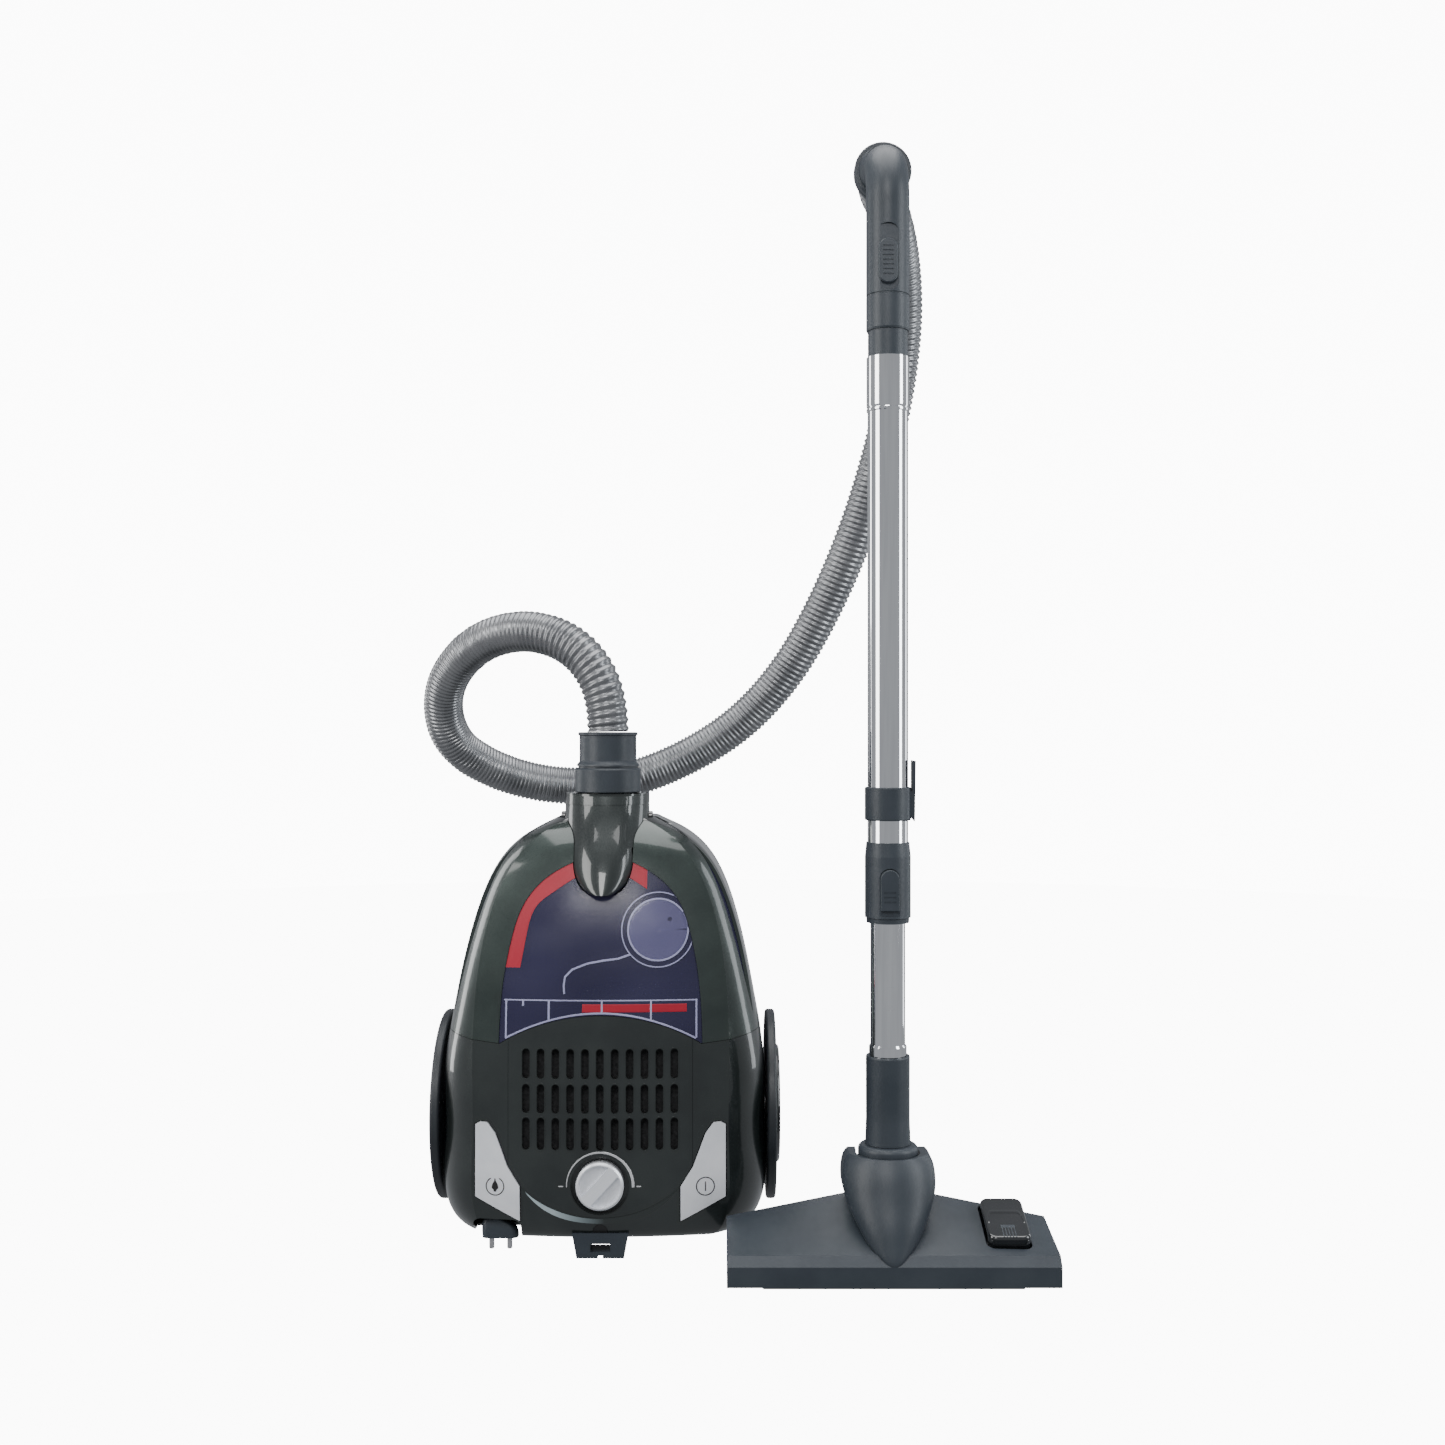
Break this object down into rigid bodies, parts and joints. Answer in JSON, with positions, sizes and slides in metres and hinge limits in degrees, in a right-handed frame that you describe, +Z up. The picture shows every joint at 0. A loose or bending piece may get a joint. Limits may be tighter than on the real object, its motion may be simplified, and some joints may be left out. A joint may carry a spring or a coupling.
{
  "type": "canister vacuum cleaner",
  "caption": "Bagless canister vacuum cleaner parked upright on its end, with a corrugated hose looping to a telescopic wand that stands on its floor nozzle.",
  "frame": {"origin": "on the floor, at the middle of the hard parts' outline seen from above (the hose is left out)", "axes": "+X to the viewer's right, +Y from the canister's top side to its underside (away from the viewer), +Z up; millimetres in the source, metres in the record"},
  "size_m": [0.5803, 0.3878, 0.9865],
  "materials": {
    "shell": "glossy dark grey-green metallic-look plastic",
    "frame": "glossy dark green metallic-look plastic",
    "bin_clear": "clear violet-tinted plastic",
    "red": "glossy red",
    "silver": "satin silver plastic",
    "pale_gloss": "glossy pale blue-white",
    "slate": "fine-grained slate grey plastic",
    "black_gloss": "glossy black plastic",
    "black_matte": "matt black plastic",
    "chrome": "polished chrome-plated steel",
    "steel": "turned steel",
    "copper": "wound copper and laminated iron",
    "alloy": "pressed aluminium",
    "rubber": "satin grey rubber",
    "hose_plastic": "silver-grey corrugated plastic",
    "foam": "open-cell foam and fleece",
    "board": "green circuit board",
    "bristle": "black nylon bristles",
    "cord_black": "black cord sheath"
  },
  "bodies": {
    "canister": {"base_shell": "shell", "main_cover": "shell", "accent_strip": "pale_gloss", "exhaust_cover": "shell", "bin_cradle": "black_gloss", "motor_bulkhead": "black_matte", "park_clip": "slate", "parking_feet": "rubber", "screw_cap": "black_matte", "inlet_housing": "shell", "wheel_axles": "steel", "motor_housing": "alloy", "motor_stator": "copper", "filter_pads": "foam", "circuit_board": "board", "reel_bracket": "black_matte", "plug_body": "slate", "plug_prongs": "steel", "hose": "hose_plastic"},
    "dust_bin": {"bin_frame": "frame", "bin_body": "bin_clear", "red_trim": "red", "cyclone_tube": "bin_clear", "filter_frame": "slate"},
    "left_wheel": {"left_wheel_disc": "slate", "left_tyre": "rubber", "left_hubcap": "black_gloss"},
    "right_wheel": {"right_wheel_disc": "slate", "right_tyre": "rubber", "right_hubcap": "black_gloss"},
    "caster": {"caster_fork": "slate"},
    "caster_roller": {"caster_wheel": "rubber"},
    "power_switch": {"power_pedal": "silver"},
    "rewind_switch": {"rewind_pedal": "silver"},
    "dial": {"suction_knob": "silver"},
    "left_release": {"release_button_left": "black_gloss"},
    "right_release": {"release_button_right": "black_gloss"},
    "hose_connector": {"hose_sleeve": "slate", "hose_cuff": "slate"},
    "motor_fan": {"motor_rotor": "steel", "impeller": "alloy"},
    "reel": {"cord_reel": "black_matte", "wound_cord": "cord_black"},
    "upper_wand": {"outer_tube": "chrome", "tube_sleeve": "slate", "park_hook": "slate", "handle": "slate"},
    "lower_wand": {"inner_tube": "chrome", "neck": "slate"},
    "tube_catch": {"latch_button": "slate"},
    "relief_valve": {"relief_slider": "slate"},
    "handle_nut": {"hose_nut": "slate"},
    "nozzle_knuckle": {"knuckle": "slate"},
    "nozzle_head": {"nozzle_cover": "slate", "nozzle_dome": "slate", "sole_plate": "slate"},
    "brush_pedal": {"nozzle_pedal": "black_gloss"},
    "floor_brush": {"brush_frame": "slate", "brush_bristles": "bristle"},
    "rollers": {"nozzle_rollers": "black_matte"}
  },
  "joints": [
    {"name": "bin_release", "type": "slide", "parent": "canister", "child": "dust_bin", "axis": [0, -1, 0], "range_m": [0, 0.16]},
    {"name": "left_wheel_spin", "type": "hinge", "parent": "canister", "child": "left_wheel", "pos_m": [-0.266, 0.059, 0.109], "axis": [1, 0, 0], "continuous": true},
    {"name": "right_wheel_spin", "type": "hinge", "parent": "canister", "child": "right_wheel", "pos_m": [0.038, 0.059, 0.109], "axis": [1, 0, 0], "continuous": true},
    {"name": "caster_swivel", "type": "hinge", "parent": "canister", "child": "caster", "pos_m": [-0.114, 0.107, 0.318], "axis": [0, 1, 0], "continuous": true},
    {"name": "caster_roll", "type": "hinge", "parent": "caster", "child": "caster_roller", "pos_m": [-0.114, 0.1345, 0.309], "axis": [1, 0, 0], "continuous": true},
    {"name": "power_press", "type": "slide", "parent": "canister", "child": "power_switch", "axis": [0, 1, 0], "range_m": [0, 0.004], "stiffness_N_per_m": 400},
    {"name": "rewind_press", "type": "slide", "parent": "canister", "child": "rewind_switch", "axis": [0, 1, 0], "range_m": [0, 0.004], "stiffness_N_per_m": 400},
    {"name": "dial_turn", "type": "hinge", "parent": "canister", "child": "dial", "pos_m": [-0.114, -0.06, 0.0649], "axis": [0, 1, 0], "range_deg": [-133, 47]},
    {"name": "left_release_press", "type": "slide", "parent": "canister", "child": "left_release", "axis": [1, 0, 0], "range_m": [0, 0.0025], "stiffness_N_per_m": 300},
    {"name": "right_release_press", "type": "slide", "parent": "canister", "child": "right_release", "axis": [-1, 0, 0], "range_m": [0, 0.0025], "stiffness_N_per_m": 300},
    {"name": "connector_swivel", "type": "hinge", "parent": "canister", "child": "hose_connector", "pos_m": [-0.114, 0.035, 0.43], "axis": [0, 0, 1], "continuous": true},
    {"name": "fan_spin", "type": "hinge", "parent": "canister", "child": "motor_fan", "pos_m": [-0.078, 0.038, 0.1], "axis": [0, 0, 1], "continuous": true},
    {"name": "reel_spin", "type": "hinge", "parent": "canister", "child": "reel", "pos_m": [-0.207, 0.036, 0.104], "axis": [1, 0, 0], "continuous": true},
    {"name": "wand_lift", "type": "slide", "parent": "canister", "child": "upper_wand", "axis": [0, 0, 1], "range_m": [-0.09, 0.25], "deforming": ["hose"]},
    {"name": "telescope", "type": "slide", "parent": "upper_wand", "child": "lower_wand", "axis": [0, 0, -1], "range_m": [-0.09, 0.25]},
    {"name": "catch_press", "type": "slide", "parent": "upper_wand", "child": "tube_catch", "axis": [0, 0, -1], "range_m": [0, 0.004], "stiffness_N_per_m": 300, "springref_m": -0.003},
    {"name": "relief_slide", "type": "slide", "parent": "upper_wand", "child": "relief_valve", "axis": [0, 0, 1], "range_m": [0, 0.013]},
    {"name": "nut_turn", "type": "hinge", "parent": "upper_wand", "child": "handle_nut", "pos_m": [0.136, -0.04, 0.961], "axis": [0, 1, 0], "continuous": true},
    {"name": "nozzle_swivel", "type": "hinge", "parent": "lower_wand", "child": "nozzle_knuckle", "pos_m": [0.136, -0.09, 0.1], "axis": [0, 0, 1], "range_deg": [0, 90]},
    {"name": "nozzle_tilt", "type": "hinge", "parent": "nozzle_knuckle", "child": "nozzle_head", "pos_m": [0.136, -0.09, 0.05], "axis": [1, 0, 0], "range_deg": [0, 20]},
    {"name": "brush_pedal_rock", "type": "hinge", "parent": "nozzle_head", "child": "brush_pedal", "pos_m": [0.235, -0.099, 0.04], "axis": [1, 0, 0], "range_deg": [0, 4]},
    {"name": "brush_drop", "type": "slide", "parent": "nozzle_head", "child": "floor_brush", "axis": [0, 0, -1], "range_m": [0, 0.003]},
    {"name": "rollers_spin", "type": "hinge", "parent": "nozzle_head", "child": "rollers", "pos_m": [0.136, -0.073, 0.0065], "axis": [1, 0, 0], "continuous": true}
  ],
  "couplings": [
    {"joint": "telescope", "follows": "wand_lift", "ratio": 1},
    {"joint": "brush_drop", "follows": "brush_pedal_rock", "m_per_rad": 0.042}
  ]
}
